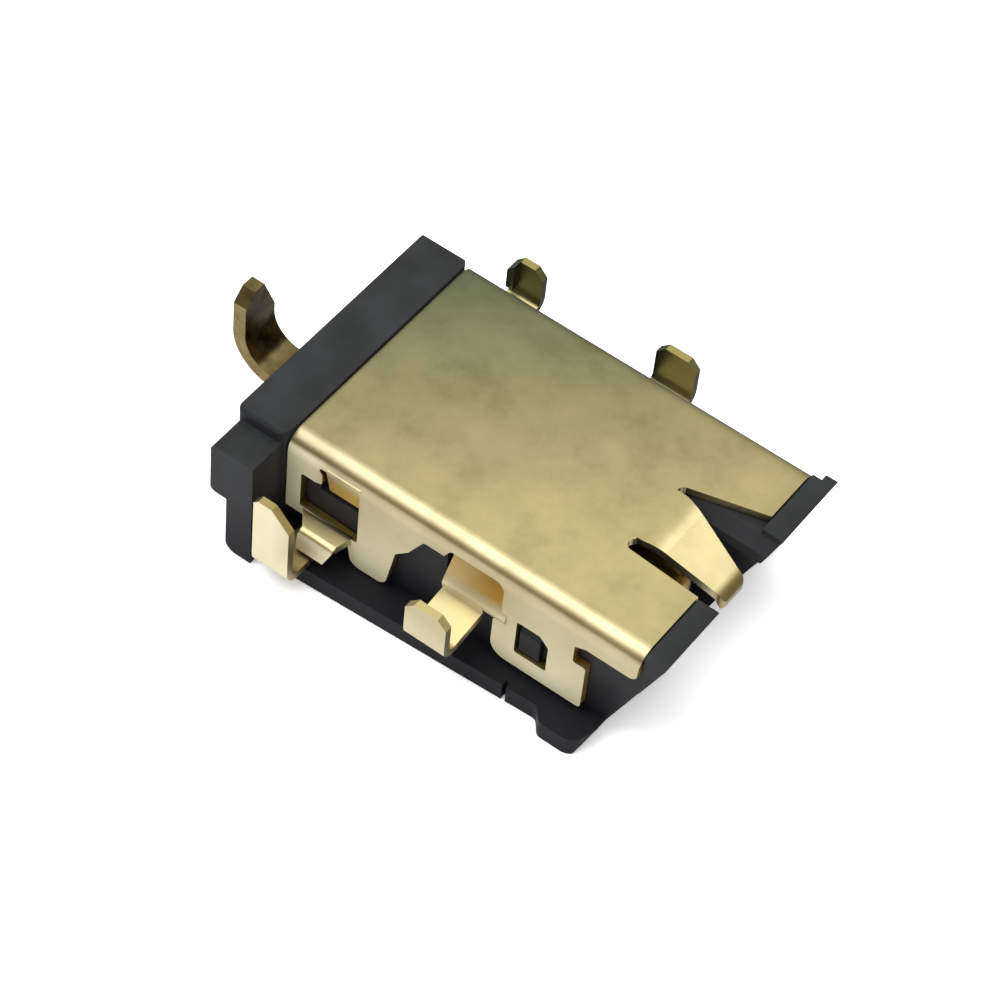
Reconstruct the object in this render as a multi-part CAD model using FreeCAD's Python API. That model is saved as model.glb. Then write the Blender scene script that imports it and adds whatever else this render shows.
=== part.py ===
import FreeCAD, Part
import math
import os

# DC power jack for the edge of a circuit board, in millimetres.
# +X points out of the plug mouth, +Y to the side without the contact ear, +Z up.
# The origin is on the resting face, under the middle of the shell's width and length.

V = FreeCAD.Vector

# Shell, one stamping folded over the top and both sides
shell_length = 11.85
shell_width = 8.5
sheet = 0.25
shell_bend = 0.62        # outer radius of the two long folds
plate_depth = 3.6        # from the shell's top face down to its front plates
lobe_depth = 3.76        # and down to the lobe behind each notch
stack_height = 4.5       # from the resting face up to the shell's top face
seat_gap = 0.03          # clearance between metal and moulding
drawn_length = 11.85     # places along the shell keep their share of this length

# Corners of punched sheet
punch_round = 0.08
corner_round = 0.15
wide_round = 0.3

# Plates, windows and slots of each side wall: places from the rear edge, depths from the top face
window_rear = (0.5, 2.52)
window_depth = (1.2, 2.7)
window_slant = 0.1       # how much higher the window's floor is at its rear end
tongue_rear = 1.0        # where the bent-in tongue over the rear window starts
tongue_depth = 0.5
tongue_root = 0.12       # wall that the tongue and the middle leg grow from
tongue_reach = 1.02
tongue_dip = 0.26
tongue_gap = 0.1         # slit between the tongue and the wall behind it
nib_length = 0.22        # nib of the wall beside the tongue
nib_height = 0.48
nib_slant = 0.07
skirt_end = 2.2          # length of the shallow rear skirt
skirt_depth = 2.95
lobe_lean = 0.15
lobe_middle = 2.95
lobe_end = 3.55
lobe_round = 0.35
notch_rise = (3.83, 2.1)
notch_step = (4.25, 1.68)
notch_top = (4.74, 0.84)
notch_corner = (5.62, 1.38)
notch_floor = 5.2        # front side of the open notch, below its head
leg_span = (5.5, 6.88)   # middle leg along the shell
plate_rear = 7.2
plate_front = 10.28
plate_corner = 0.5
latch_window = (7.98, 9.05)
latch_depth = (1.65, 2.98)
latch_chamfer = 0.3
arm_slot = 9.85          # closed end of the slot over the front plate
arm_slot_round = 0.35
arm_depth = 0.98
arm_slot_depth = 1.8
arm_corner = 0.26

# Board legs of the shell
leg_out = 1.8            # from the wall's outer face to the leg's outer face
leg_tip_drop = 0.9       # from the shell's top face down to the tips
leg_tip_chamfer = 0.3
leg_bend = 0.36          # centre-line radius at the foot of a leg
leg_shelf_depth = 2.25   # where a leg leaves the wall
leg_shelf_fall = 0.3
leg_shelf_start = 0.1    # outside the wall's middle
leg_dip = 0.5            # how far the wall is drawn in above a leg
leg_dip_height = 0.45    # from the recess's top down to its deepest line
leg_dip_bend = 0.3
leg_step_depth = 1.86    # fold above the shelf, from which the leg steps down
leg_step_bend = 0.14
recess_over = 0.25       # recess past the front plate's rear edge
recess_web = 0.18
rear_leg_span = (0.35, 1.45)
rear_leg_shelf_depth = 2.3
rear_leg_shelf_fall = 0.1
rear_leg_root = 0.45     # strip of wall below the shelf
rear_leg_bend = 0.25
rear_leg_flange = 0.5    # returned edge that stiffens the far rear leg
lip_span = (1.0, 2.18)   # outer edge of the shelf under the near rear window
lip_root_span = (0.62, 2.34)      # and the shelf where it leaves the wall
lip_out = 0.77
lip_depth = 2.82         # the shelf's outer end
lip_fall = 0.08          # how far it drops on its way out
lip_root = 0.32
lip_turn = 0.58
lip_bend = 0.2
lip_corner = 0.25        # taken off the turned edge's lower front corner

# Spring finger over the mouth
finger_offset = 0.105    # finger from the middle of the width
finger_root = 9.42
finger_root_width = 2.05
finger_shoulder = 0.2
finger_shoulder_round = 0.4
finger_tip = 11.88
finger_tip_width = 1.05
finger_drop = 1.0
finger_crease = 0.55     # from the root to the crease
finger_crease_bend = 1.2
finger_lip = 0.24        # steeper end
finger_lip_drop = 0.34
finger_lip_bend = 0.3
finger_slot_root = (1.48, 1.245)  # near and far half of the cut-out at the finger's root
finger_slot_front = (1.635, 1.925)        # and at the shell's front edge
slot_end_radius = 0.2

# Housing, one moulding
block_length = 1.68
block_rise = 0.13        # block above the shell's top face
block_side = (4.37, 4.12)         # near and far side from the plug axis
block_round = 0.2
block_corner = (0.12, 0.35)       # rear and front corners seen from above
front_length = 0.73      # moulding in front of the shell, at the top
front_slope = 0.42       # how far the front face leans back for each unit down
front_drop = 0.06
front_round = 0.1
front_band = 2.0         # height of the wide band in front of the shell
band_inset = 0.2         # band inside the shell's walls
ear_out = 1.35
ear_depth = (0.32, 2.3)
ear_rear_step = 0.05
ear_front_gap = 0.15
flange_height = 0.65
flange_root = 0.5        # how far the flanges run into the core
flange_out_rear = 1.05
flange_out_front = 0.52
flange_rear = -1.05
flange_rear_round = 0.35
foot_start = 9.25
foot_end = 10.75
foot_out = 0.94
foot_round = 0.5
foot_blend = 0.35
foot_blend_round = 0.25
flange_groove = 8.1
flange_groove_width = 0.14
flange_groove_depth = 0.16
lump_out = 0.1           # lump of the band outside the far wall
lump_start = 0.3
lump_drop = 1.1
lump_round = 0.15
latch_gap = 0.09
latch_height = 0.2
latch_ramp = 0.35
bore_radius = 1.8
bore_height = 2.15
bore_depth = 10.7
bore_floor = 0.6         # wall between the bore and the pin's shoulder
mouth_slot_half = 1.2
mouth_slot_bevel = 0.35
mouth_slot_start = 9.15
pocket_gap = 0.12

# Centre pin and its tail
pin_radius = 0.65
pin_shoulder_round = 0.1
pin_nose_round = 0.52
pin_setback = 1.15       # from the shell's front edge to the tip
shank_radius = 0.4
peened_end = 0.14        # shank left proud of the tail's plate
tail_offset = -0.25      # tail from the plug axis
tail_thickness = 0.45
tail_width = 1.35
tail_plate_half = 0.95
tail_plate_top = 0.95    # plate above the plug axis
tail_reach = 2.95        # from the block's rear face to the tail's outer face
tail_bottom = 1.15       # underside of the tail above the resting face
tail_bend = 1.25
tail_root_bend = 0.35
tail_tip_drop = 0.3
tail_tip_near = 0.4
tail_tip_far = (0.52, 1.25)       # far corner, across and down

# Side contact with the near rear leg
contact_sheet = 0.25
contact_leg = (0.25, 1.5)
contact_tip_drop = 0.8
contact_leg_chamfer = (0.16, 0.62)
contact_root_start = 0.3 # from the leg's rear edge to the foot inside the moulding
contact_root_end = 1.5
contact_foot_bend = 0.42
contact_floor = 0.72     # underside of the contact's foot above the resting face
contact_spring_bow = 0.42
contact_spring_peak = 0.62        # share of the spring's length at which it bows most
contact_spring_end = 8.4
contact_bow_bends = (1.0, 2.0)
contact_height = 0.9
contact_wall = 0.35      # moulding between the bore and the contact's sheet
contact_channel_gap = 0.12

# Places that follow from the sizes above
x_rear = -shell_length / 2
x_front = shell_length / 2
y_wall = shell_width / 2
y_core = y_wall - sheet - seat_gap
z_top = stack_height
z_core = stack_height - sheet - seat_gap
z_tip = stack_height - leg_tip_drop
x_block = x_rear - block_length
x_nose = x_front + front_length
x_bore = x_nose - bore_depth
x_shoulder = x_bore - bore_floor
recess_end = leg_shelf_depth - leg_shelf_start * 2
clear = 1.0              # how far cutting blocks run past the solid they cut
far_away = 4 * shell_length


def place(plane, a, b, level):
    """Turns a point of a drawing plane into space."""
    if plane == "xy":
        return V(a, b, level)
    if plane == "xz":
        return V(a, level, b)
    return V(level, a, b)


def rounded_wire(corners, plane, level):
    """Closed outline through corners (a, b, radius), with an arc at each radius."""
    starts = []
    ends = []
    mids = []
    count = len(corners)
    for i, (a, b, radius) in enumerate(corners):
        here = V(a, b, 0)
        before = V(corners[i - 1][0], corners[i - 1][1], 0)
        after = V(corners[(i + 1) % count][0], corners[(i + 1) % count][1], 0)
        to_before = (before - here).normalize()
        to_after = (after - here).normalize()
        angle = to_before.getAngle(to_after)
        if radius <= 0 or angle > math.pi - 1e-6:
            starts.append(here)
            ends.append(here)
            mids.append(None)
            continue
        reach = radius / math.tan(angle / 2)
        bisector = (to_before + to_after).normalize()
        starts.append(here + to_before * reach)
        ends.append(here + to_after * reach)
        mids.append(here + bisector * (radius / math.sin(angle / 2) - radius))
    edges = []
    for i in range(count):
        if mids[i] is not None:
            arc = [place(plane, p.x, p.y, level) for p in (starts[i], mids[i], ends[i])]
            edges.append(Part.Arc(*arc).toShape())
        here = place(plane, ends[i].x, ends[i].y, level)
        there = place(plane, starts[(i + 1) % count].x, starts[(i + 1) % count].y, level)
        if here.distanceToPoint(there) > 1e-6:
            edges.append(Part.LineSegment(here, there).toShape())
    return Part.Wire(edges)


def prism(corners, plane, low, high):
    """Solid between two levels of the axis that the drawing plane leaves out."""
    corners = [c if len(c) == 3 else (c[0], c[1], 0) for c in corners]
    face = Part.Face(rounded_wire(corners, plane, low))
    return face.extrude(place(plane, 0, 0, high - low))


def box(x0, x1, y0, y1, z0, z1):
    return Part.makeBox(x1 - x0, y1 - y0, z1 - z0, V(x0, y0, z0))


def rod(radius, start, length, direction=V(1, 0, 0)):
    return Part.makeCylinder(radius, length, start, direction)


def strip(path, thickness, plane, low, high):
    """Sheet bent along a centre line of points (a, b, bend radius)."""
    half = thickness / 2
    left = []
    right = []
    points = [V(a, b, 0) for a, b, radius in path]
    for i, point in enumerate(points):
        before = (point - points[i - 1]).normalize() if i > 0 else None
        after = (points[i + 1] - point).normalize() if i + 1 < len(points) else None
        first = before or after
        second = after or before
        normal = (V(-first.y, first.x, 0) + V(-second.y, second.x, 0)).normalize()
        stretch = half / normal.dot(V(-first.y, first.x, 0))
        turn = first.cross(second).z
        side = 0 if abs(turn) < 1e-9 else math.copysign(half, turn)
        bend = path[i][2]
        near = point + normal * stretch
        far = point - normal * stretch
        left.append((near.x, near.y, max(bend - side, 0) if bend else 0))
        right.append((far.x, far.y, max(bend + side, 0) if bend else 0))
    return prism(left + right[::-1], plane, low, high)


def mirrored(shape):
    return shape.mirror(V(0, 0, 0), V(0, 1, 0))


def from_rear(distance):
    """X of a place along the shell, measured from its rear edge."""
    return x_rear + distance * shell_length / drawn_length


def below_top(depth):
    return z_top - depth


def outward(distance):
    """Y of a point outside the near wall's outer face."""
    return -y_wall - distance


def tip_cut(x0, x1, z_end, rear_chamfer, front_chamfer, low, high):
    """Block that gives an upright leg its two cut corners."""
    corners = [
        (x0, 0),
        (x1, 0),
        (x1, z_end - front_chamfer),
        (x1 - front_chamfer, z_end),
        (x0 + rear_chamfer, z_end),
        (x0, z_end - rear_chamfer),
    ]
    return prism(corners, "xz", low, high)


def corner_off(x, z, side, radius, low, high):
    """What a rounded lower corner loses; side is -1 for a rear corner and 1 for a front one."""
    x_centre = x - side * radius
    z_centre = z + radius
    x_out = x + side * clear
    block = box(min(x_centre, x_out), max(x_centre, x_out), low, high, z - clear, z_centre)
    return block.cut(rod(radius, V(x_centre, low, z_centre), high - low, V(0, 1, 0)))


def wall_openings():
    """Everything punched out of one side wall, as blocks across the near wall."""
    low = outward(clear)
    high = outward(-shell_bend)
    bottom = below_top(lobe_depth + clear)
    window_floor = below_top(window_depth[1])
    cuts = []
    skirt = [
        (from_rear(0) - clear, below_top(skirt_depth)),
        (from_rear(skirt_end), below_top(skirt_depth), corner_round),
        (from_rear(skirt_end + lobe_lean), below_top(lobe_depth), lobe_round),
        (from_rear(lobe_middle), below_top(lobe_depth)),
        (from_rear(lobe_middle), bottom),
        (from_rear(0) - clear, bottom),
    ]
    cuts.append(prism(skirt, "xz", low, high))
    window = [
        (from_rear(window_rear[0]), window_floor + window_slant, punch_round),
        (from_rear(window_rear[1]), window_floor, punch_round),
        (from_rear(window_rear[1]), below_top(tongue_depth), corner_round),
        (from_rear(tongue_rear), below_top(tongue_depth), punch_round),
        (from_rear(tongue_rear + nib_length), below_top(window_depth[0] - nib_height), punch_round),
        (from_rear(tongue_rear + nib_length), below_top(window_depth[0] - nib_slant), punch_round),
        (from_rear(tongue_rear), below_top(window_depth[0]), punch_round),
        (from_rear(window_rear[0]), below_top(window_depth[0]), punch_round),
    ]
    cuts.append(prism(window, "xz", low, high))
    notch = [
        (from_rear(lobe_middle), bottom),
        (from_rear(lobe_middle), below_top(lobe_depth)),
        (from_rear(lobe_end), below_top(lobe_depth), lobe_round),
        (from_rear(notch_rise[0]), below_top(notch_rise[1]), corner_round),
        (from_rear(notch_step[0]), below_top(notch_step[1]), corner_round),
        (from_rear(notch_top[0]), below_top(notch_top[1]), corner_round),
        (from_rear(notch_corner[0]), below_top(notch_top[1]), corner_round),
        (from_rear(notch_corner[0]), below_top(notch_corner[1]), corner_round),
        (from_rear(notch_floor), below_top(leg_shelf_depth), corner_round),
        (from_rear(notch_floor), bottom),
    ]
    cuts.append(prism(notch, "xz", low, high))
    x_recess = from_rear(plate_rear + recess_over)
    leg = [
        (from_rear(notch_floor) - punch_round, bottom),
        (from_rear(notch_floor) - punch_round, below_top(notch_corner[1])),
        (from_rear(notch_corner[0]), below_top(tongue_depth), corner_round),
        (x_recess, below_top(tongue_depth), wide_round),
        (x_recess, below_top(recess_end), corner_round),
        (from_rear(plate_rear), below_top(recess_end), corner_round),
        (from_rear(plate_rear), bottom),
    ]
    cuts.append(prism(leg, "xz", low, high))
    latch = [
        (from_rear(latch_window[0]), below_top(latch_depth[1]), punch_round),
        (from_rear(latch_window[1]), below_top(latch_depth[1]), punch_round),
        (from_rear(latch_window[1]), below_top(latch_depth[0] + latch_chamfer), punch_round),
        (from_rear(latch_window[1] - latch_chamfer), below_top(latch_depth[0]), punch_round),
        (from_rear(latch_window[0]), below_top(latch_depth[0]), punch_round),
    ]
    cuts.append(prism(latch, "xz", low, high))
    arm = [
        (from_rear(arm_slot), below_top(arm_slot_depth), punch_round),
        (from_rear(plate_front), below_top(arm_slot_depth), punch_round),
        (from_rear(plate_front), bottom),
        (x_front + clear, bottom),
        (x_front + clear, below_top(arm_depth)),
        (from_rear(arm_slot) + arm_slot_round, below_top(arm_depth), corner_round),
        (from_rear(arm_slot), below_top(arm_depth) - corner_round, punch_round),
    ]
    cuts.append(prism(arm, "xz", low, high))
    plate_floor = below_top(plate_depth)
    cuts.append(box(from_rear(plate_rear), from_rear(plate_front), low, high, bottom, plate_floor))
    cuts.append(corner_off(from_rear(plate_rear), plate_floor, -1, plate_corner, low, high))
    cuts.append(corner_off(from_rear(plate_front), plate_floor, 1, corner_round, low, high))
    cuts.append(corner_off(x_front, below_top(arm_depth), 1, arm_corner, low, high))
    return cuts


def recess_path():
    """Centre line of the wall where it is drawn in above a middle leg."""
    mid = outward(-sheet / 2)
    return [
        (mid, below_top(tongue_depth - tongue_root), 0),
        (mid + leg_dip, below_top(tongue_depth + leg_dip_height), leg_dip_bend),
        (mid - leg_shelf_start, below_top(leg_step_depth), leg_step_bend),
        (mid, below_top(recess_end), 0),
    ]


def recess():
    """Drawn-in wall above a middle leg, closed by a web at the front plate."""
    path = recess_path()
    x_web = from_rear(plate_rear + recess_over)
    wall = strip(path, sheet, "yz", from_rear(leg_span[0]), x_web + recess_web)
    return wall.fuse(prism([(a, b) for a, b, bend in path], "yz", x_web, x_web + recess_web))


def middle_leg():
    """Leg led out below the recess as a shelf and turned up beside the board."""
    mid = outward(-sheet / 2)
    foot = outward(leg_out - sheet / 2)
    path = recess_path()[:3] + [
        (mid, below_top(leg_shelf_depth), leg_step_bend),
        (foot, below_top(leg_shelf_depth + leg_shelf_fall), leg_bend),
        (foot, z_tip, 0),
    ]
    low = from_rear(leg_span[0])
    high = from_rear(leg_span[1])
    keep = tip_cut(low, high, z_tip, leg_tip_chamfer, leg_tip_chamfer, outward(far_away), 0)
    return strip(path, sheet, "yz", low, high).common(keep)


def far_rear_leg():
    """Leg beside the rear window, with one edge returned; drawn on the near side."""
    mid = outward(-sheet / 2)
    foot = outward(leg_out - sheet / 2)
    path = [
        (mid, below_top(rear_leg_shelf_depth + rear_leg_root), 0),
        (mid - leg_shelf_start, below_top(rear_leg_shelf_depth), rear_leg_bend),
        (foot, below_top(rear_leg_shelf_depth + rear_leg_shelf_fall), leg_bend),
        (foot, z_tip, 0),
    ]
    low = from_rear(rear_leg_span[0])
    high = from_rear(rear_leg_span[1])
    leg = strip(path, sheet, "yz", low, high)
    inner = outward(leg_out)
    flange_foot = below_top(rear_leg_shelf_depth - leg_bend)
    flange = box(low, low + sheet, inner, inner + rear_leg_flange, flange_foot, z_tip)
    keep = tip_cut(low, high, z_tip, leg_tip_chamfer, leg_tip_chamfer, outward(far_away), 0)
    return leg.fuse(flange).common(keep)


def near_rear_lip():
    """Shelf that stiffens the near wall under the rear window."""
    mid = outward(-sheet / 2)
    edge = outward(lip_out - sheet / 2)
    path = [
        (mid, below_top(lip_depth - lip_fall + lip_root), 0),
        (mid, below_top(lip_depth - lip_fall), lip_bend),
        (edge, below_top(lip_depth), lip_bend),
        (edge, below_top(lip_depth + lip_turn), 0),
    ]
    x0, x1 = [from_rear(x) for x in lip_span]
    x0_root, x1_root = [from_rear(x) for x in lip_root_span]
    y_turned = outward(lip_out - sheet)
    plan = [
        (x0_root, outward(-sheet)),
        (x0_root, outward(0)),
        (x0, y_turned),
        (x0, outward(lip_out)),
        (x1, outward(lip_out)),
        (x1, y_turned),
        (x1_root, outward(0)),
        (x1_root, outward(-sheet)),
    ]
    lip = strip(path, sheet, "yz", x0_root, x1_root).common(prism(plan, "xy", 0, z_top))
    z_low = below_top(lip_depth + lip_turn)
    corner = [
        (x1, z_low),
        (x1, z_low + lip_turn),
        (x1 - lip_corner, z_low),
    ]
    return lip.cut(prism(corner, "xz", outward(lip_out), outward(0)))


def rear_tongue():
    """Tongue over the rear window, bent in a little towards the moulding."""
    mid = outward(-sheet / 2)
    path = [
        (mid, below_top(tongue_depth - tongue_root), 0),
        (mid + tongue_dip, below_top(tongue_depth + tongue_reach), 0),
    ]
    low = from_rear(tongue_rear + nib_length) + tongue_gap
    return strip(path, sheet, "yz", low, from_rear(window_rear[1]))


def spring_finger():
    """Tapered finger that dips from the shell's top into the mouth."""
    mid = below_top(sheet / 2)
    x_root = from_rear(finger_root)
    x_tip = from_rear(finger_tip)
    path = [
        (x_root - finger_shoulder, mid, 0),
        (x_root + finger_crease, mid, finger_crease_bend),
        (x_tip, mid - finger_drop, finger_lip_bend),
        (x_tip + finger_lip, mid - finger_drop - finger_lip_drop, 0),
    ]
    low = finger_offset - finger_root_width
    high = finger_offset + finger_root_width
    bent = strip(path, sheet, "xz", low, high)
    root_half = finger_root_width / 2
    tip_half = finger_tip_width / 2
    x_end = x_tip + finger_lip
    outline = [
        (x_root - finger_shoulder, finger_offset - root_half),
        (x_root + finger_shoulder, finger_offset - root_half, finger_shoulder_round),
        (x_tip, finger_offset - tip_half, corner_round),
        (x_end, finger_offset - tip_half, corner_round),
        (x_end, finger_offset + tip_half, corner_round),
        (x_tip, finger_offset + tip_half, corner_round),
        (x_root + finger_shoulder, finger_offset + root_half, finger_shoulder_round),
        (x_root - finger_shoulder, finger_offset + root_half),
    ]
    return bent.common(prism(outline, "xy", 0, z_top + clear))


def finger_opening():
    """Cut-out around the finger: two slots that widen towards the front."""
    low = below_top(shell_bend)
    high = z_top + clear
    x_root = from_rear(finger_root)
    stretch = (x_front + clear - x_root) / (x_front - x_root)
    near_end, far_end = finger_slot_root
    near = near_end + (finger_slot_front[0] - near_end) * stretch
    far = far_end + (finger_slot_front[1] - far_end) * stretch
    outline = [
        (x_root, finger_offset - near_end, punch_round),
        (x_front + clear, finger_offset - near),
        (x_front + clear, finger_offset + far),
        (x_root, finger_offset + far_end, punch_round),
    ]
    opening = prism(outline, "xy", low, high)
    for y in (slot_end_radius - near_end, far_end - slot_end_radius):
        centre = V(x_root + slot_end_radius / 2, finger_offset + y, low)
        opening = opening.fuse(rod(slot_end_radius, centre, high - low, V(0, 0, 1)))
    return opening


def make_shell():
    half = y_wall
    bottom = below_top(lobe_depth)
    inner = shell_bend - sheet
    section = [
        (-half, bottom),
        (-half, z_top, shell_bend),
        (half, z_top, shell_bend),
        (half, bottom),
        (half - sheet, bottom),
        (half - sheet, z_top - sheet, inner),
        (-half + sheet, z_top - sheet, inner),
        (-half + sheet, bottom),
    ]
    shell = prism(section, "yz", x_rear, x_front)
    cuts = wall_openings()
    cuts += [mirrored(cut) for cut in cuts]
    for cut in cuts:
        shell = shell.cut(cut)
    shell = shell.cut(finger_opening())
    parts = [
        spring_finger(),
        recess(),
        mirrored(recess()),
        middle_leg(),
        mirrored(middle_leg()),
        near_rear_lip(),
        mirrored(far_rear_leg()),
        rear_tongue(),
        mirrored(rear_tongue()),
    ]
    for part in parts:
        shell = shell.fuse(part)
    return shell.removeSplitter()


def front_cut():
    """Everything in front of the leaning front face."""
    top = z_top - front_drop
    corners = [
        (x_nose - front_slope * (top + clear), -clear),
        (x_nose + far_away, -clear),
        (x_nose + far_away, top + clear),
        (x_nose + front_slope * clear, top + clear),
    ]
    return prism(corners, "xz", -far_away, far_away)


def flange(side):
    """Foot flange along one side, with a wider rounded foot near the mouth."""
    y_in = side * (y_core - flange_root)
    corners = [
        (from_rear(flange_rear), y_in),
        (from_rear(flange_rear), side * (y_wall + flange_out_rear), flange_rear_round),
        (from_rear(foot_start), side * (y_wall + flange_out_front), foot_blend_round),
        (from_rear(foot_start) + foot_blend, side * (y_wall + foot_out), foot_blend_round),
        (from_rear(foot_end), side * (y_wall + foot_out), foot_round),
        (from_rear(foot_end) + foot_round, y_in),
    ]
    body = prism(corners, "xy", 0, flange_height)
    y_out = side * (y_wall + flange_out_rear)
    y_groove = side * (y_wall + flange_out_front - flange_groove_depth)
    x_groove = from_rear(flange_groove)
    y_low = min(y_out, y_groove)
    y_high = max(y_out, y_groove)
    return body.cut(box(x_groove, x_groove + flange_groove_width, y_low, y_high, -clear, z_top))


def contact_ear():
    """Ear outside the near rear corner, with a set-back lower half."""
    y_in = -y_wall + ear_front_gap
    x_ear_rear = x_block + ear_rear_step
    x_ear_front = x_rear - ear_front_gap
    upper = [
        (x_ear_rear, below_top(ear_depth[1]), block_round),
        (x_ear_rear, below_top(ear_depth[0]), block_round),
        (x_ear_front, below_top(ear_depth[0])),
        (x_ear_front, below_top(ear_depth[1])),
    ]
    lower = [
        (from_rear(flange_rear), 0, flange_rear_round),
        (from_rear(flange_rear), below_top(ear_depth[1]) + ear_rear_step),
        (x_ear_front, below_top(ear_depth[1]) + ear_rear_step),
        (x_ear_front, 0),
    ]
    ear = prism(upper, "xz", outward(ear_out), y_in)
    return ear.fuse(prism(lower, "xz", outward(ear_out), y_in))


def latch():
    """Low wedge of the near side that snaps into a window of the shell."""
    x0 = from_rear(latch_window[0]) + latch_gap
    x1 = from_rear(latch_window[1] - latch_chamfer)
    z0 = below_top(latch_depth[1] - latch_gap)
    z1 = below_top(latch_depth[0] + latch_gap)
    y_in = -y_core + latch_height
    wedge = [
        (y_in, z0),
        (-y_core - latch_height, z0),
        (-y_core - latch_height, z1 - latch_ramp),
        (-y_core, z1),
        (y_in, z1),
    ]
    return prism(wedge, "yz", x0, x1)


def leg_pockets():
    """Room in the near side for the drawn-in tongue and recess."""
    gap = pocket_gap
    y_in = outward(-sheet - leg_dip - gap)
    leg = box(
        from_rear(leg_span[0]) - gap,
        from_rear(plate_rear + recess_over) + recess_web + gap,
        outward(0),
        y_in,
        below_top(recess_end + sheet),
        z_top,
    )
    tongue = box(
        from_rear(tongue_rear),
        from_rear(window_rear[1]) + gap,
        outward(0),
        outward(-sheet - tongue_dip - gap),
        below_top(tongue_depth + tongue_reach + 2 * gap),
        z_top,
    )
    return leg.fuse(tongue)


def contact_path():
    """Centre line of the side contact's leg and foot, seen along the jack."""
    foot = outward(leg_out - contact_sheet / 2)
    floor = contact_floor + contact_sheet / 2
    return [
        (foot, below_top(contact_tip_drop), 0),
        (foot, floor, contact_foot_bend),
        (contact_inner_y(), floor, contact_sheet),
        (contact_inner_y(), bore_height + contact_height / 2, 0),
    ]


def contact_inner_y():
    """Middle of the contact's upright sheet inside the moulding."""
    return -bore_radius - contact_wall


def contact_room():
    """Slot and channel that the side contact lies in."""
    gap = contact_channel_gap
    y_mid = contact_inner_y()
    half = contact_sheet / 2
    x0 = from_rear(contact_leg[0]) + contact_root_start - gap
    x1 = from_rear(contact_root_end) + gap
    z0 = contact_floor - seat_gap
    slot = box(x0, x1, outward(flange_out_rear + clear), y_mid, z0, z0 + contact_sheet + 2 * gap)
    top = bore_height + contact_height / 2 + gap
    root = box(x0, x1, y_mid - half - gap, y_mid + half + gap, z0, top)
    low = bore_height - contact_height / 2 - gap
    x_end = from_rear(contact_spring_end) + contact_sheet + gap
    channel = box(x0, x_end, y_mid - half - gap, 0, low, top)
    return slot.fuse(root).fuse(channel)


def make_side_contact():
    """Spring beside the plug barrel, with its foot and its upright board leg."""
    low = from_rear(contact_leg[0])
    high = from_rear(contact_root_end)
    z_end = below_top(contact_tip_drop)
    bent = strip(contact_path(), contact_sheet, "yz", low, high)
    x_leg = from_rear(contact_leg[1])
    y_leg = outward(leg_out - contact_sheet)
    y_out = outward(leg_out + clear)
    rear_chamfer, front_chamfer = contact_leg_chamfer
    keep = tip_cut(low, x_leg, z_end, rear_chamfer, front_chamfer, y_out, y_leg)
    curl = box(low, high, y_out, y_leg, 0, contact_floor + 2 * contact_foot_bend)
    y_slot = outward(flange_out_rear)
    shelf = box(low, high, y_leg, y_slot, 0, z_top)
    inner = box(low + contact_root_start, high, y_slot, 0, 0, z_top)
    contact = bent.common(keep.fuse(curl).fuse(shelf).fuse(inner))
    y_mid = contact_inner_y()
    straight_bend, bow_bend = contact_bow_bends
    path = [
        (low + contact_root_start, y_mid, 0),
        (high + contact_root_start, y_mid, straight_bend),
        (from_rear(contact_spring_end * contact_spring_peak), y_mid + contact_spring_bow, bow_bend),
        (from_rear(contact_spring_end), y_mid + contact_sheet / 4, 0),
    ]
    z0 = bore_height - contact_height / 2
    spring = strip(path, contact_sheet, "xy", z0, z0 + contact_height)
    return contact.fuse(spring).removeSplitter()


def tail_path():
    """Centre line of the pin's tail, from its plate to its upright tip."""
    half = tail_thickness / 2
    x_plate = x_block + half
    floor = tail_bottom + half
    x_out = x_block - tail_reach + half
    return [
        (x_plate, bore_height + tail_plate_top, 0),
        (x_plate, floor, tail_root_bend),
        (x_out, floor, tail_bend),
        (x_out, below_top(tail_tip_drop), 0),
    ]


def make_pin_tail():
    """Thick strap on the pin's rear end, led back and turned up."""
    half = tail_width / 2
    y_low = tail_offset - tail_plate_half
    y_high = tail_offset + tail_plate_half
    bent = strip(tail_path(), tail_thickness, "xz", y_low, y_high)
    z_end = below_top(tail_tip_drop)
    far_across, far_down = tail_tip_far
    strap = [
        (tail_offset - half, 0),
        (tail_offset + half, 0),
        (tail_offset + half, z_end - far_down),
        (tail_offset + half - far_across, z_end),
        (tail_offset - half + tail_tip_near, z_end),
        (tail_offset - half, z_end - tail_tip_near),
    ]
    x_split = x_block - seat_gap
    rear = prism(strap, "yz", x_split - tail_reach - clear, x_split)
    front = box(x_split, x_rear, y_low, y_high, 0, z_top)
    tail = bent.common(rear.fuse(front))
    hole = rod(shank_radius + seat_gap, V(x_block - clear, 0, bore_height), 2 * clear)
    return tail.cut(hole).removeSplitter()


def make_pin():
    """Turned pin with a domed nose, a thin shank and a peened rear end."""
    x_tip = x_front - pin_setback
    outline = [
        (x_block - peened_end, 0, 0),
        (x_block - peened_end, shank_radius, peened_end),
        (x_shoulder, shank_radius, 0),
        (x_shoulder, pin_radius, pin_shoulder_round),
        (x_tip, pin_radius, pin_nose_round),
        (x_tip, 0, 0),
    ]
    face = Part.Face(rounded_wire(outline, "xz", 0))
    pin = face.revolve(V(0, 0, 0), V(1, 0, 0), 360)
    pin.translate(V(0, 0, bore_height))
    return pin


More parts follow.
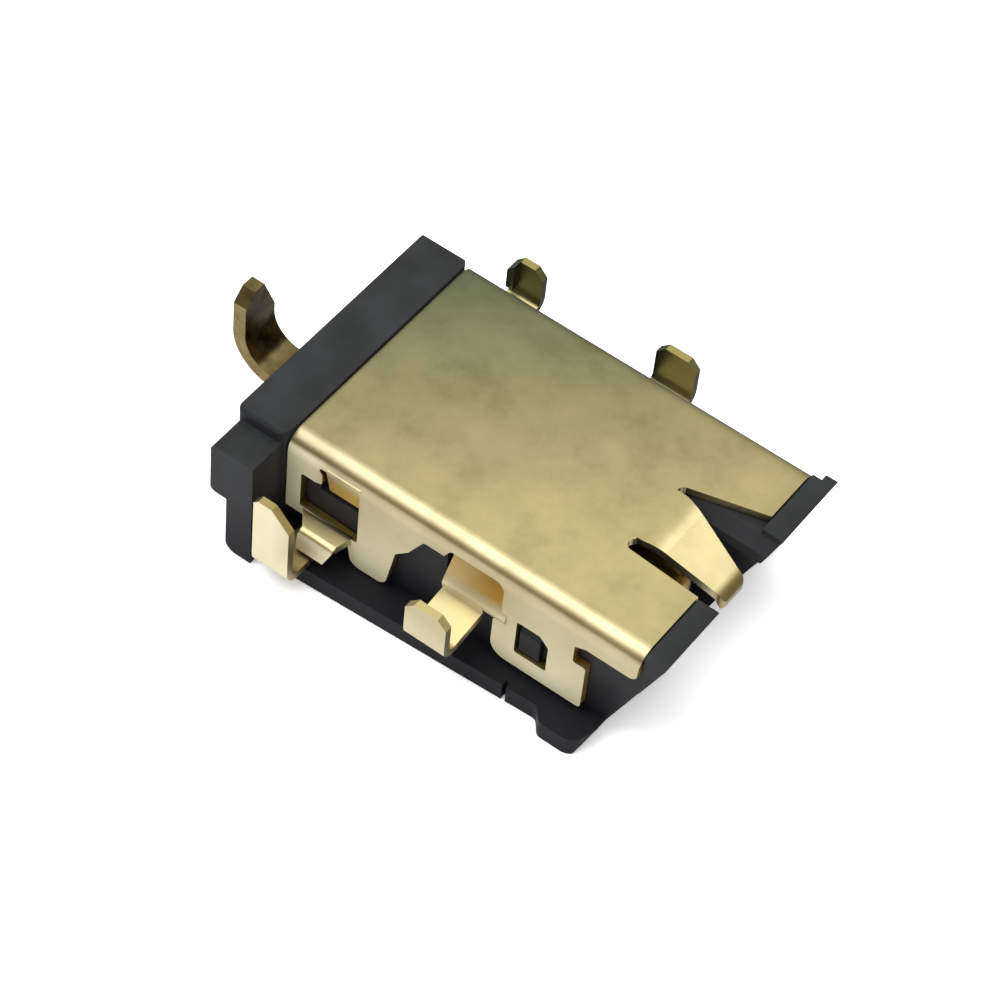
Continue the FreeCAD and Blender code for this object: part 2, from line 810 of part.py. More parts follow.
def housing_body():
    """Core, rear block, nose band, flanges, ear and latches, before any hollow."""
    top = z_top - front_drop
    z_block = z_top + block_rise
    x_face = x_rear - seat_gap
    x_band = x_front + seat_gap
    round_core = shell_bend - sheet + seat_gap
    core = [
        (-y_core, 0),
        (y_core, 0),
        (y_core, z_core, round_core),
        (-y_core, z_core, round_core),
    ]
    body = prism(core, "yz", x_face - front_length, x_nose)
    nose = [
        (x_band, top - front_band),
        (x_nose, top - front_band),
        (x_nose, top, front_round),
        (x_band, top),
    ]
    near_side, far_side = block_side
    back = [
        (-near_side, 0),
        (far_side, 0),
        (far_side, z_block, block_round),
        (-near_side, z_block, block_round),
    ]
    rear_corner, front_corner = block_corner
    plan = [
        (x_block, -near_side, rear_corner),
        (x_face, -near_side, front_corner),
        (x_face, far_side, front_corner),
        (x_block, far_side, rear_corner),
    ]
    block = prism(back, "yz", x_block, x_face).common(prism(plan, "xy", 0, z_block))
    y_band = y_wall - band_inset
    lump = [
        (y_band - lump_out, top - lump_drop),
        (y_wall + lump_out, top - lump_drop, lump_round),
        (y_wall + lump_out, top, lump_round),
        (y_band - lump_out, top),
    ]
    parts = [
        block,
        prism(nose, "xz", -y_band, y_band),
        prism(lump, "yz", x_band + lump_start, x_nose),
        flange(-1),
        flange(1),
        contact_ear(),
    ]
    for part in parts:
        body = body.fuse(part)
    body = body.cut(front_cut())
    return body.fuse(latch()).fuse(mirrored(latch()))


def mouth_slot():
    """Room for the spring finger over the bore, with bevelled shoulders."""
    inner = mouth_slot_half
    outer = mouth_slot_half + mouth_slot_bevel
    corners = [
        (-inner, bore_height),
        (inner, bore_height),
        (inner, z_core - mouth_slot_bevel),
        (outer, z_core),
        (outer, z_top + clear),
        (-outer, z_top + clear),
        (-outer, z_core),
        (-inner, z_core - mouth_slot_bevel),
    ]
    return prism(corners, "yz", from_rear(mouth_slot_start), x_nose + clear)


def make_housing():
    body = housing_body()
    pockets = leg_pockets()
    cuts = [
        pockets,
        mirrored(pockets),
        rod(bore_radius, V(x_bore, 0, bore_height), far_away),
        mouth_slot(),
        rod(shank_radius + seat_gap, V(x_block - clear, 0, bore_height), x_bore - x_block + 2 * clear),
        rod(pin_radius + seat_gap, V(x_shoulder - seat_gap, 0, bore_height), bore_floor + clear),
        box(
            x_block - clear,
            x_block + tail_thickness + seat_gap,
            tail_offset - tail_plate_half - seat_gap,
            tail_offset + tail_plate_half + seat_gap,
            tail_bottom - seat_gap,
            bore_height + tail_plate_top + seat_gap,
        ),
        contact_room(),
    ]
    for cut in cuts:
        body = body.cut(cut)
    return body.removeSplitter()


def main():
    os.makedirs("parts", exist_ok=True)
    nodes = {
        "housing": make_housing(),
        "shell": make_shell(),
        "center_pin": make_pin(),
        "pin_tail": make_pin_tail(),
        "side_contact": make_side_contact(),
    }
    for name, shape in nodes.items():
        shape.exportStep("parts/" + name + ".step")
        print(name, "solids", len(shape.Solids), "valid", shape.isValid(), "volume", round(shape.Volume, 3))


main()
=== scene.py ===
# %% [markdown]
# A dc power jack, dressed for its portrait
# This small connector sits at the edge of a circuit board and takes a barrel plug. Its shapes come
# ready made, as five solids in metres. What is left to do here is the finish of each surface, the
# floor, the lamps and the camera, one cell at a time.

# %% Load the solids
import math

import bpy
from mathutils import Matrix, Vector

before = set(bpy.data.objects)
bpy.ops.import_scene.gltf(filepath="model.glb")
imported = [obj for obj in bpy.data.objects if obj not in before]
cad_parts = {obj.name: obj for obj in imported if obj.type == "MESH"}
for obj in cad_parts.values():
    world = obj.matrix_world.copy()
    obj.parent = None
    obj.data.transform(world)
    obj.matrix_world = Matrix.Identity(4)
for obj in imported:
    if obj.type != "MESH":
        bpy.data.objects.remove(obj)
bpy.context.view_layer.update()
MM = 0.001
print("nodes:", sorted(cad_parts))

# %% [markdown]
# Helpers for colours and nodes
# Colours are written as sRGB hex values, because that is how they are read off a picture, but a
# shader works with linear light. One function does the change. Another adds a shader node with its
# settings and links in a single call, so that each material below reads like a recipe.

# %% Colour and node helpers
def linear(hex_colour):
    """sRGB hex to the linear colour that shaders use."""
    shares = [int(hex_colour[i:i + 2], 16) / 255 for i in (1, 3, 5)]
    light = [s / 12.92 if s <= 0.04045 else ((s + 0.055) / 1.055) ** 2.4 for s in shares]
    return tuple(light) + (1.0,)


def add(tree, kind, inputs=None, stops=(), **settings):
    """Adds a node. inputs maps a socket to a value, to another node's output, or to another node,
    which then gives its first output. stops are a colour ramp's (position, hex colour) pairs."""
    node = tree.nodes.new(kind)
    for name, value in settings.items():
        setattr(node, name, value)
    for socket, value in (inputs or {}).items():
        if isinstance(value, bpy.types.Node):
            value = value.outputs[0]
        if isinstance(value, bpy.types.NodeSocket):
            tree.links.new(value, node.inputs[socket])
        else:
            node.inputs[socket].default_value = value
    if stops:
        elements = node.color_ramp.elements
        while len(elements) < len(stops):
            elements.new(0.5)
        for element, (position, colour) in zip(elements, stops):
            element.position = position
            element.color = linear(colour)
    return node


def new_material(name):
    """A material with nothing on it yet, its node tree, and a point on the piece in metres."""
    material = bpy.data.materials.new(name)
    material.use_nodes = True
    tree = material.node_tree
    tree.nodes.clear()
    add(tree, "ShaderNodeOutputMaterial")
    return material, tree, add(tree, "ShaderNodeTexCoord").outputs["Object"]


def covered(material, shader):
    """The material, with the shader on its surface."""
    tree = material.node_tree
    tree.links.new(shader.outputs[0], tree.get_output_node("ALL").inputs["Surface"])
    return material


# %% [markdown]
# Shares and coats
# A real finish is never one flat colour. Here it changes with the place on the part, with the way
# a face looks, and in nooks, and some of these changes are painted light and shade. Each such
# change is a share from 0 to 1. The coats of a finish are then laid over each other by their
# shares, as a painter would glaze a model. Painted textures could do the same, but shares hold
# their size in millimetres and stay sharp from close by.

# %% Shares of a surface
ALONG = (1, 0, 0)              # out of the plug's mouth
ACROSS = (0, 1, 0)             # to the far side, from the middle
UP = (0, 0, 1)                 # from the floor
NOOK_REACH = 0.7               # mm, how near another face has to be for a nook
NOOK_OPENNESS = (0.6, 0.2)     # open share of the sky, where a nook begins and where it is deepest
NOOK_RAYS = 8


def lumps(size_mm):
    """Scale of a noise whose lumps are about size_mm across."""
    return 1 / (size_mm * MM)


def place_along(tree, point, direction):
    """Distance along a direction, in millimetres."""
    scaled = tuple(component / MM for component in direction)
    dot = add(tree, "ShaderNodeVectorMath", {0: point, 1: scaled}, operation="DOT_PRODUCT")
    return dot.outputs["Value"]


def facing(tree, axis):
    """How squarely a face looks along X, Y or Z, from -1 to 1."""
    normal = add(tree, "ShaderNodeNewGeometry").outputs["Normal"]
    return add(tree, "ShaderNodeSeparateXYZ", {0: normal}).outputs[axis]


def fade(tree, point, direction, start, end, both_sides=False):
    """Share that goes from 0 to 1 between two places, in mm, along a direction."""
    place = place_along(tree, point, direction)
    if both_sides:
        place = add(tree, "ShaderNodeMath", {0: place}, operation="ABSOLUTE")
    return add(tree, "ShaderNodeMapRange", {"Value": place, "From Min": start, "From Max": end})


def nook_shade_share(tree, deepest):
    """Share for painted shade: 0 on open faces, rising to the given share in the deepest nooks."""
    reach = {"Distance": NOOK_REACH * MM}
    openness = add(tree, "ShaderNodeAmbientOcclusion", reach, samples=NOOK_RAYS).outputs["AO"]
    low, high = NOOK_OPENNESS
    limits = {"Value": openness, "From Min": low, "From Max": high, "To Min": 0, "To Max": deepest}
    return add(tree, "ShaderNodeMapRange", limits)


# %% Coats over a surface
def where_all(tree, share, *others):
    """Share of the places where every one of the given shares is high."""
    for other in others:
        share = add(tree, "ShaderNodeMath", {0: share, 1: other}, operation="MULTIPLY")
    return share


def painted(tree, colour, *coats):
    """Lays coats over a colour. A coat is its share, its colour and, if it isn't MIX, its blend."""
    for share, coat, *blend in coats:
        sockets = {0: share, 6: colour, 7: coat}
        kind = blend[0] if blend else "MIX"
        colour = add(tree, "ShaderNodeMix", sockets, data_type="RGBA", blend_type=kind).outputs[2]
    return colour


# %% [markdown]
# The moulding: glass-filled nylon
# Such housings are injection moulded from glass-filled nylon or liquid crystal polymer. That gives
# a charcoal black that is neither shiny nor dead: a fine spark-eroded grain from the mould, and a
# faint cloudiness where glass fibre lies near the skin. The upper half gets painted light, a shade
# paler than the flanges near the floor, and the nooks beside the shell get painted shade, darkest
# there. The IOR is about that of nylon, and a roughness near a half is usual for a spark-eroded
# mould. The shine is turned down, because the grain breaks up most of what such a skin would
# mirror.

# %% Moulded black polymer
# Painted light and shade: the first ramp below is the paler, lit upper half, the second the darker,
# shaded lower half.
UPPER_LIT = [(0.3, "#2b2c2d"), (0.7, "#37383a")]
LOWER_SHADED = [(0.3, "#1a1a1f"), (0.7, "#212126")]
# Painted shade: the nooks are darkened toward this black.
NOOK_SHADE_BLACK = linear("#0c0c0e")
NOOK_SHADE_MOST = 0.5          # share of the black in the deepest nooks
LIT_FROM = (0.8, 2.6)       # mm above the floor, between which the skin turns paler
CLOUD_SIZE = 1.6               # mm, clouds of fibre under the skin
CLOUDS = {"Scale": lumps(CLOUD_SIZE), "Detail": 3.0, "Roughness": 0.55}
GRAIN_SIZE = 0.09              # mm; the real grain is about 0.02, drawn coarser so that it shows
GRAIN = {"Scale": lumps(GRAIN_SIZE), "Detail": 4.0, "Roughness": 0.7}
GRAIN_DEPTH = 0.01             # mm
GRAIN_STRENGTH = 0.25
NYLON_IOR = 1.55
NYLON_SHINE = 0.1
NYLON_ROUGHNESS = (0.42, 0.6)  # least and most, from cloud to cloud


def moulded_polymer():
    material, tree, point = new_material("moulded_glass_filled_nylon")
    clouds = add(tree, "ShaderNodeTexNoise", {"Vector": point, **CLOUDS})
    lower_shaded = add(tree, "ShaderNodeValToRGB", {"Fac": clouds}, stops=LOWER_SHADED)
    upper_lit = add(tree, "ShaderNodeValToRGB", {"Fac": clouds}, stops=UPPER_LIT)
    # Painted light: the skin is made paler higher up, as lit from above.
    upper_light = (fade(tree, point, UP, *LIT_FROM), upper_lit)
    # Painted shade in the nooks.
    nook_shade = (nook_shade_share(tree, NOOK_SHADE_MOST), NOOK_SHADE_BLACK)
    grain = add(tree, "ShaderNodeTexNoise", {"Vector": point, **GRAIN})
    relief = {"Height": grain, "Strength": GRAIN_STRENGTH, "Distance": GRAIN_DEPTH * MM}
    least, most = NYLON_ROUGHNESS
    limits = {"Value": clouds, "To Min": least, "To Max": most}
    skin = {
        "Base Color": painted(tree, lower_shaded, upper_light, nook_shade),
        "Roughness": add(tree, "ShaderNodeMapRange", limits),
        "IOR": NYLON_IOR,
        "Specular IOR Level": NYLON_SHINE,
        "Normal": add(tree, "ShaderNodeBump", relief),
    }
    return covered(material, add(tree, "ShaderNodeBsdfPrincipled", skin))


# %% [markdown]
# The plated sheet: gold flash on rolled strip
# The shell and the side contact are stamped from copper alloy strip, then flash plated with gold
# over nickel. Thin gold on rolled strip is pale and mirrors softly, with a roughness of about a
# third. The faces that look outward were rubbed by the press: they are matt and pale, so part of
# their light is scattered, which a lower metallic gives. Towards the lower edge and the rear end,
# where shade falls, they get painted light, paler still. Nooks get a painted brown shade, standing
# in for the shade and for the gold that facing gold faces mirror.

# %% Skin of the plated sheet
SHINY_SHEET = {"roughness": 0.36, "metallic": 1.0}
MATT_SHEET = {"roughness": 0.5, "metallic": 0.35}
OUTWARD = (3.2, 3.75)          # mm from the middle, times facing out, where matt begins and is full
PALE_WALL = [(0.3, "#c9bb90"), (0.7, "#d5c8a1")]
# Painted light: the lower edge and the rear end of a wall are lifted to this paler colour, against
# the shade there.
PAINTED_LIGHT_EDGE = [(0.3, "#f4e9bf"), (0.7, "#faf1cc")]
LOW_EDGE = (3.2, 1.2)          # mm above the floor, between which a wall turns paler
REAR_END = (-4.2, -5.0)        # mm along the part, where it does so too
# Painted shade and reflection: nooks are browned toward this colour, as gold mirrored between gold
# faces looks.
NOOK_SHADE_BROWN = linear("#8c6c38")
NOOK_BROWN_MOST = 0.8            # share of the brown in the deepest nooks
SPECKLE_SIZE = 0.12            # mm; rolling lines are finer, drawn as a speckle that still shows
SPECKLE = {"Scale": lumps(SPECKLE_SIZE), "Detail": 3.0, "Roughness": 0.7}
SPECKLE_DEPTH = 0.01           # mm
SPECKLE_STRENGTH = 0.12


def metal(material, point, colour, roughness, metallic=1.0, edge="#ffffff"):
    """A metal skin with a fine speckle. edge is the tint of what it mirrors at a glance."""
    tree = material.node_tree
    speckle = add(tree, "ShaderNodeTexNoise", {"Vector": point, **SPECKLE})
    relief = {"Height": speckle, "Strength": SPECKLE_STRENGTH, "Distance": SPECKLE_DEPTH * MM}
    skin = {
        "Base Color": colour,
        "Metallic": metallic,
        "Roughness": roughness,
        "Specular Tint": linear(edge),
        "Normal": add(tree, "ShaderNodeBump", relief),
    }
    return covered(material, add(tree, "ShaderNodeBsdfPrincipled", skin))


def outward_share(tree, point):
    """1 on faces far from the middle that look out to their own side, 0 on the others."""
    factors = {0: facing(tree, "Y"), 1: place_along(tree, point, ACROSS)}
    outward = add(tree, "ShaderNodeMath", factors, operation="MULTIPLY")
    low, high = OUTWARD
    return add(tree, "ShaderNodeMapRange", {"Value": outward, "From Min": low, "From Max": high})


def wall_colour(tree, point, patches):
    """Pale beige, with painted light that makes it paler towards the lower edge and the rear end.
    """
    ends = {0: fade(tree, point, UP, *LOW_EDGE), 1: fade(tree, point, ALONG, *REAR_END)}
    painted_light_share = add(tree, "ShaderNodeMath", ends, operation="MAXIMUM")
    wall = add(tree, "ShaderNodeValToRGB", {"Fac": patches}, stops=PALE_WALL)
    edge = add(tree, "ShaderNodeValToRGB", {"Fac": patches}, stops=PAINTED_LIGHT_EDGE)
    return painted(tree, wall, (painted_light_share, edge))


def sheet_metal(material, point, patches, shiny_colour, matt):
    """Pale and matt by the share matt, and otherwise shiny, with painted brown shade in the nooks.
    """
    tree = material.node_tree
    # Painted brown shade and reflection in the nooks.
    nook_shade = (nook_shade_share(tree, NOOK_BROWN_MOST), NOOK_SHADE_BROWN)
    walls = (matt, wall_colour(tree, point, patches))
    skin = {}
    for name in ("roughness", "metallic"):
        limits = {"Value": matt, "To Min": SHINY_SHEET[name], "To Max": MATT_SHEET[name]}
        skin[name] = add(tree, "ShaderNodeMapRange", limits)
    return metal(material, point, painted(tree, shiny_colour, nook_shade, walls), **skin)


# %% [markdown]
# The shell's colours and painted light
# The flat top has cloudy patches, and a painted reflection makes it darker and olive at its far
# rear and tan at its near front. Places drawn in behind the wall get painted reflection and shade:
# soft, then deep gold along the middle recess, and dull gold at the rear window. The shelves
# outside the walls are a pale gold, the far legs are darkened a little with painted shade, and the
# end of the finger is dulled with painted shade. Each of these is one coat below.

# %% Colours of the top
TOP_GOLD = [(0.3, "#c5b98f"), (0.5, "#d7cba0"), (0.7, "#e3d4a7")]
# Painted reflection: this ramp darkens the top and turns it olive towards the far rear.
REFLECTION_DRIFT = [(0.0, "#93a5b4"), (0.55, "#dadae1"), (0.85, "#fafafe")]
TO_NEAR_FRONT = (0.6, -0.8, 0.0)
DRIFT = (-6.0, 4.0)            # mm towards the near front, over which the painted reflection drifts


def top_gold(tree, point, patches):
    """Cloudy gold, with a painted reflection that darkens it towards the far rear."""
    gold = add(tree, "ShaderNodeValToRGB", {"Fac": patches}, stops=TOP_GOLD)
    drift = fade(tree, point, TO_NEAR_FRONT, *DRIFT)
    reflection_drift = add(tree, "ShaderNodeValToRGB", {"Fac": drift}, stops=REFLECTION_DRIFT)
    return painted(tree, gold, (1.0, reflection_drift, "MULTIPLY"))


# %% Colours of the drawn-in places
INSET = (4.23, 4.12)           # mm from the middle, behind the outer face of the wall
UNDER_TOP = (4.1, 3.95)        # mm above the floor, below the top's own finish
OUTER_PART = (2.5, 3.0)        # mm from the middle, outside the finger and the mouth
RECESS_TURN = (0.2, 1.2)       # mm along the part, where the recess goes from soft to deep gold
REAR_WINDOW = (-1.0, -2.0)     # mm along the part, behind which the gold is dull
# Painted reflection and shade: the drawn-in places get these golds, as gold mirrored in a recess
# and the shade behind the rear window look.
SOFT_GOLD = linear("#ffe6a2")
DEEP_GOLD = linear("#f6c662")
DULL_GOLD = linear("#c5a552")


def drawn_share(tree, point):
    """1 on what is drawn in behind the wall and below the top."""
    inset = fade(tree, point, ACROSS, *INSET, both_sides=True)
    outer = fade(tree, point, ACROSS, *OUTER_PART, both_sides=True)
    return where_all(tree, inset, fade(tree, point, UP, *UNDER_TOP), outer)


def drawn_reflection_gold(tree, point):
    """Painted reflection: soft gold that turns deep along the recess, and painted shade, dull,
    behind the rear window.
    """
    deep = fade(tree, point, ALONG, *RECESS_TURN)
    dull = fade(tree, point, ALONG, *REAR_WINDOW)
    return painted(tree, SOFT_GOLD, (deep, DEEP_GOLD), (dull, DULL_GOLD))


# %% Gold flash on the shell
PATCH_SIZE = 1.4               # mm
PATCHES = {"Scale": lumps(PATCH_SIZE), "Detail": 5.0, "Roughness": 0.6}
SHELF_GOLD = linear("#ddd09f")
# Painted shade: the far legs are darkened a little by this colour.
FAR_LEG_SHADE = linear("#d9d6c9")
# Painted shade: the end of the finger is darkened by this colour.
FINGER_TIP_SHADE = linear("#bdb6a8")
FLAT_FROM = (0.7, 0.9)         # facing up, from which a face counts as a shelf
SHELVES = (4.3, 4.5)           # mm from the middle, outside the walls
FAR_LEGS = (4.6, 5.2)          # mm to the far side
FINGER_TIP = (5.82, 5.96)      # mm along the part, the end of the finger
FINGER_SIDES = (1.4, 1.2)      # mm from the middle, just outside the finger and just inside
DRAWN_MATT = 0.2               # how matt the drawn-in faces are, beside the outward ones


def shell_gold():
    material, tree, point = new_material("flash_gold_on_strip")
    patches = add(tree, "ShaderNodeTexNoise", {"Vector": point, **PATCHES})
    drawn = drawn_share(tree, point)
    low, high = FLAT_FROM
    flat = {"Value": facing(tree, "Z"), "From Min": low, "From Max": high}
    outside = fade(tree, point, ACROSS, *SHELVES, both_sides=True)
    shelf = where_all(tree, add(tree, "ShaderNodeMapRange", flat), outside)
    finger = fade(tree, point, ACROSS, *FINGER_SIDES, both_sides=True)
    tip = where_all(tree, fade(tree, point, ALONG, *FINGER_TIP), finger)
    colour = painted(
        tree,
        top_gold(tree, point, patches),
        (drawn, drawn_reflection_gold(tree, point)),
        (shelf, SHELF_GOLD),
        (fade(tree, point, ACROSS, *FAR_LEGS), FAR_LEG_SHADE, "MULTIPLY"),
        (tip, FINGER_TIP_SHADE, "MULTIPLY"),
    )
    kept = add(tree, "ShaderNodeMapRange", {"Value": drawn, "To Min": 1.0, "To Max": DRAWN_MATT})
    matt = where_all(tree, outward_share(tree, point), kept)
    return sheet_metal(material, point, patches, colour, matt)


# %% [markdown]
# The contact, the tail and the pin
# The side contact is plated sheet like the shell, without the painted reflection drift of the
# shell's top. The tail is a thick strap, and the pin is turned brass under a thicker gold. Both are
# smoother than the sheet, with a roughness a little under a third. The tail's gold is darkened with
# painted shade, and the inside of its bend, which faces the dark housing, is painted brown as shade
# and dark reflection. There the metallic goes down to a half, so that the brown shows.

# %% Gold on the contact, the tail and the pin
CONTACT_GOLD = [(0.3, "#b5a473"), (0.7, "#c8b788")]
CONTACT_PATCHES = {"Scale": lumps(1.2), "Detail": 4.0, "Roughness": 0.55}
# Painted shade: the strap's gold above is darkened, and the inside of the bend gets this dark
# brown, as shade and dark reflection.
STRAP_SHADED_GOLD = [(0.35, "#6e6345"), (0.65, "#8a7e5e")]
BEND_SHADE = [(0.35, "#24180a"), (0.65, "#5e4a26")]
BEND_SHADE_METALLIC = 0.5
STRAP_EDGE = "#cdbb9c"
STRAP_PATCHES = {"Scale": lumps(0.5), "Detail": 4.0, "Roughness": 0.55}
STRAP_ROUGHNESS = 0.28
BEND_INSIDE = (0.25, 0.6)      # facing the housing, where the painted shade begins and where it is full
PIN_GOLD = [(0.3, "#9a7c42"), (0.7, "#a98a50")]
PIN_PATCHES = {"Scale": lumps(1.0), "Detail": 3.0, "Roughness": 0.55}
PIN_ROUGHNESS = 0.3


def contact_gold():
    material, tree, point = new_material("pale_gold_on_spring_sheet")
    patches = add(tree, "ShaderNodeTexNoise", {"Vector": point, **CONTACT_PATCHES})
    shiny = add(tree, "ShaderNodeValToRGB", {"Fac": patches}, stops=CONTACT_GOLD)
    return sheet_metal(material, point, patches, shiny, outward_share(tree, point))


def tail_gold():
    material, tree, point = new_material("shaded_gold_on_thick_strap")
    patches = add(tree, "ShaderNodeTexNoise", {"Vector": point, **STRAP_PATCHES})
    gold = add(tree, "ShaderNodeValToRGB", {"Fac": patches}, stops=STRAP_SHADED_GOLD)
    bend_shade = add(tree, "ShaderNodeValToRGB", {"Fac": patches}, stops=BEND_SHADE)
    low, high = BEND_INSIDE
    limits = {"Value": facing(tree, "X"), "From Min": low, "From Max": high}
    inside = add(tree, "ShaderNodeMapRange", limits)
    limits = {"Value": inside, "To Min": 1.0, "To Max": BEND_SHADE_METALLIC}
    metallic_share = add(tree, "ShaderNodeMapRange", limits)
    colour = painted(tree, gold, (inside, bend_shade))
    return metal(material, point, colour, STRAP_ROUGHNESS, metallic_share, edge=STRAP_EDGE)


def pin_gold():
    material, tree, point = new_material("gold_on_turned_brass")
    patches = add(tree, "ShaderNodeTexNoise", {"Vector": point, **PIN_PATCHES})
    gold = add(tree, "ShaderNodeValToRGB", {"Fac": patches}, stops=PIN_GOLD)
    return metal(material, point, gold, PIN_ROUGHNESS)


# %% [markdown]
# Dressing the solids
# Each solid is one piece of one stuff, so it gets one material. The solids' own plain materials
# are cleared first.

# %% One finish for each solid
finishes = {
    "housing": moulded_polymer(),
    "shell": shell_gold(),
    "center_pin": pin_gold(),
    "pin_tail": tail_gold(),
    "side_contact": contact_gold(),
}
for node, material in finishes.items():
    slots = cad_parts[node].data.materials
    slots.clear()
    slots.append(material)
    print(node, "->", material.name)

# %% [markdown]
# Softened edges
# A moulding never has a perfectly sharp edge, and stamped sheet has a tiny roll-over. Both catch
# light as thin lines, so each solid gets a bevel a few hundredths of a millimetre wide. The pin is
# turned and already round, so it has none.

# %% Edge bevels
EDGE_WIDTHS = {"housing": 0.05, "shell": 0.025, "pin_tail": 0.04, "side_contact": 0.02}  # mm
FACET_ANGLE = 35               # degrees; edges that turn less than this are facets of a curve
EDGE_STEPS = 2

for node, width in EDGE_WIDTHS.items():
    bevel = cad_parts[node].modifiers.new("soft_edges", "BEVEL")
    bevel.width = width * MM
    bevel.segments = EDGE_STEPS
    bevel.limit_method = "ANGLE"
    bevel.angle_limit = math.radians(FACET_ANGLE)
    bevel.use_clamp_overlap = True
    print(node, "edges rounded by", width, "mm")

# %% [markdown]
# The floor
# The jack lies on a white sheet of paper. The camera sees the sheet pure white, and the metal
# mirrors it bright on the near side and dim behind the jack, where painted shade stands in for the
# dark there. For every other ray it is an ordinary pale surface, and it takes the jack's shadow.
# Light Path tells these rays apart, so no lamp has to be turned up to make the paper white.

# %% White floor
FLOOR_SIZE = 0.6               # m
FLOOR_GAP = 0.02               # mm, so that the floor and the jack's underside never share a plane
FLOOR_TONE = 0.55              # for the light that it gives back to the jack
SEEN_FLOOR = 1.6               # for the camera
MIRRORED_FLOOR = 1.15          # in the metal, on the near side
# Painted shade: the floor behind the jack, as the metal mirrors it, is dimmed to this.
FLOOR_SHADE_BEHIND = 0.2             # in the metal, behind the jack
FLOOR_DIMS = (0.0, 8.0)        # mm to the far side, between which the mirrored floor goes dim


def grey(value):
    return (value, value, value, 1)


def white_paper():
    material, tree, point = new_material("white_paper")
    ray = add(tree, "ShaderNodeLightPath").outputs
    painted_shade_behind = (fade(tree, point, ACROSS, *FLOOR_DIMS), grey(FLOOR_SHADE_BEHIND))
    mirrored = (ray["Is Glossy Ray"], painted(tree, grey(MIRRORED_FLOOR), painted_shade_behind))
    seen = (ray["Is Camera Ray"], grey(SEEN_FLOOR))
    tone = painted(tree, grey(FLOOR_TONE), mirrored, seen)
    return covered(material, add(tree, "ShaderNodeBsdfDiffuse", {"Color": tone}))


bpy.ops.mesh.primitive_plane_add(size=FLOOR_SIZE, location=(0, 0, -FLOOR_GAP * MM))
floor = bpy.context.object
floor.name = "floor"
floor.data.materials.append(white_paper())
print("floor:", FLOOR_SIZE, "m wide")

# %% [markdown]
# The room that the metal mirrors
# Gold looks like gold only by what it mirrors. This room is beige and bright high up behind the
# jack, and brown low down on the near side. Matt surfaces get a neutral grey sky instead, brighter
# overhead, so that the room's beige tints neither the moulding nor the paper.

# %% World
ROOM_TILT = (0.0, 0.55, 0.83)  # where the room is brightest: up and behind
ROOM_STOPS = [(0.0, "#6f5e3d"), (0.3, "#84724c"), (0.6, "#b9ae86"), (0.9, "#e3dfbd")]
ROOM_DARKEST = -0.3            # facing that way, at and below which the room is darkest
SKY_STOPS = [(0.0, "#8f8f92"), (1.0, "#ffffff")]
SKY_STRENGTH = 1.25


def light_room():
    world = bpy.data.worlds.new("room")
    world.use_nodes = True
    tree = world.node_tree
    tree.nodes.clear()
    direction = add(tree, "ShaderNodeTexCoord").outputs["Generated"]
    tilt = add(tree, "ShaderNodeVectorMath", {0: direction, 1: ROOM_TILT}, operation="DOT_PRODUCT")
    limits = {"Value": tilt.outputs["Value"], "From Min": ROOM_DARKEST, "From Max": 1}
    share = add(tree, "ShaderNodeMapRange", limits)
    room = add(tree, "ShaderNodeValToRGB", {"Fac": share}, stops=ROOM_STOPS)
    height = add(tree, "ShaderNodeSeparateXYZ", {0: direction}).outputs["Z"]
    sky = add(tree, "ShaderNodeValToRGB", {"Fac": height}, stops=SKY_STOPS)
    mirrored = add(tree, "ShaderNodeBackground", {"Color": room})
    soft = add(tree, "ShaderNodeBackground", {"Color": sky, "Strength": SKY_STRENGTH})
    seen = add(tree, "ShaderNodeBackground", {"Color": linear("#ffffff")})
    ray = add(tree, "ShaderNodeLightPath").outputs
    lit = add(tree, "ShaderNodeMixShader", {0: ray["Is Glossy Ray"], 1: soft, 2: mirrored})
    mix = add(tree, "ShaderNodeMixShader", {0: ray["Is Camera Ray"], 1: lit, 2: seen})
    add(tree, "ShaderNodeOutputWorld", {"Surface": mix})
    bpy.context.scene.world = world
    print("world:", world.name)


light_room()

# %% [markdown]
# Two lamps
# A large cool lamp stands high on the near side towards the rear, where the long bend of the shell
# mirrors it as one bright line. A smaller one, on the far side beyond the mouth, lights the slope
# of the finger. Both are area lamps, like soft boxes, for reflections with soft edges.

# %% Lamps
COOL_WHITE = "#f6f8ff"


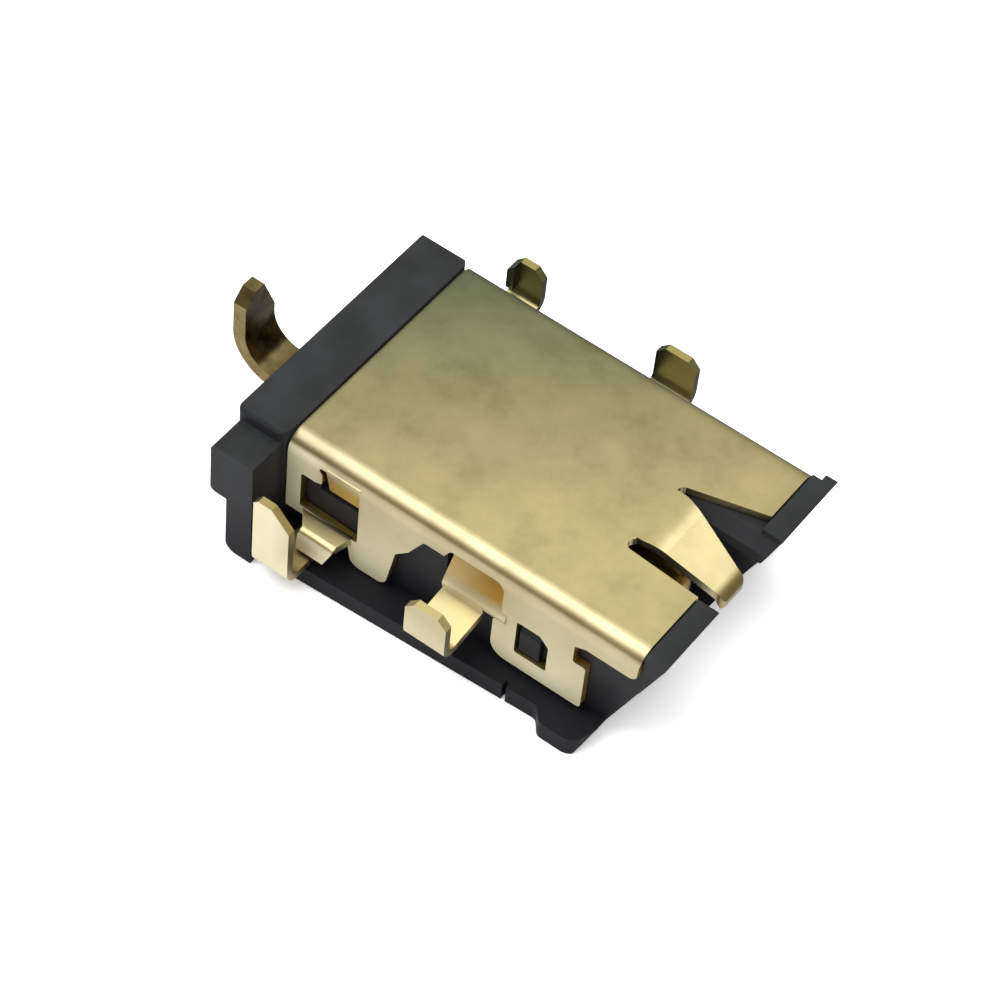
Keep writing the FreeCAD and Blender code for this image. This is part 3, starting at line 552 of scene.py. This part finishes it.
def bearing(azimuth, elevation):
    """Direction away from the jack: degrees round from its near side, and up from level."""
    a = math.radians(azimuth)
    e = math.radians(elevation)
    return Vector((math.sin(a) * math.cos(e), -math.cos(a) * math.cos(e), math.sin(e)))


def lamp(name, azimuth, elevation, distance, size, power, colour="#ffffff"):
    """Square soft box that looks at the jack, with its sizes in metres and its power in watts."""
    light = bpy.data.lights.new(name, "AREA")
    light.size = size
    light.energy = power
    light.color = linear(colour)[:3]
    holder = bpy.data.objects.new(name, light)
    holder.location = bearing(azimuth, elevation) * distance
    holder.rotation_euler = (-holder.location).to_track_quat("-Z", "Y").to_euler()
    bpy.context.collection.objects.link(holder)
    print(name, "at", [round(v, 3) for v in holder.location], "m")


lamp("long_edge_lamp", azimuth=-55, elevation=66, distance=0.25,
     size=0.2, power=0.28, colour=COOL_WHITE)
lamp("finger_lamp", azimuth=147, elevation=46, distance=0.3, size=0.12, power=0.08)

# %% [markdown]
# The camera
# A long lens stands close to the part, a little over half way up from level and turned towards the
# mouth. The camera is rolled a few degrees, because the jack lies slightly turned in the picture.

# %% Camera
AZIMUTH = 31.21
ELEVATION = 51.46
ROLL = 6.83
DISTANCE = 100.80 * MM
SENSOR = 36.0                  # mm
FOCAL_SHARE = 3.6              # focal length over sensor width
TARGET = Vector((-1.064, -0.753, 2.25)) * MM
NEAREST = 0.001                # m, nearer than which the camera sees nothing


def aim_camera():
    a = math.radians(AZIMUTH)
    r = math.radians(ROLL)
    back = bearing(AZIMUTH, ELEVATION)
    level = Vector((math.cos(a), math.sin(a), 0))
    above = back.cross(level)
    right = math.cos(r) * level + math.sin(r) * above
    up = -math.sin(r) * level + math.cos(r) * above
    data = bpy.data.cameras.new("camera")
    data.sensor_width = SENSOR
    data.lens = FOCAL_SHARE * SENSOR
    data.clip_start = NEAREST
    camera = bpy.data.objects.new("camera", data)
    camera.matrix_world = Matrix((right, up, back)).transposed().to_4x4()
    camera.location = TARGET + back * DISTANCE
    bpy.context.collection.objects.link(camera)
    bpy.context.scene.camera = camera
    print("camera at", [round(v, 4) for v in camera.location], "m, lens", data.lens, "mm")


aim_camera()
bpy.context.scene.view_settings.view_transform = "Standard"
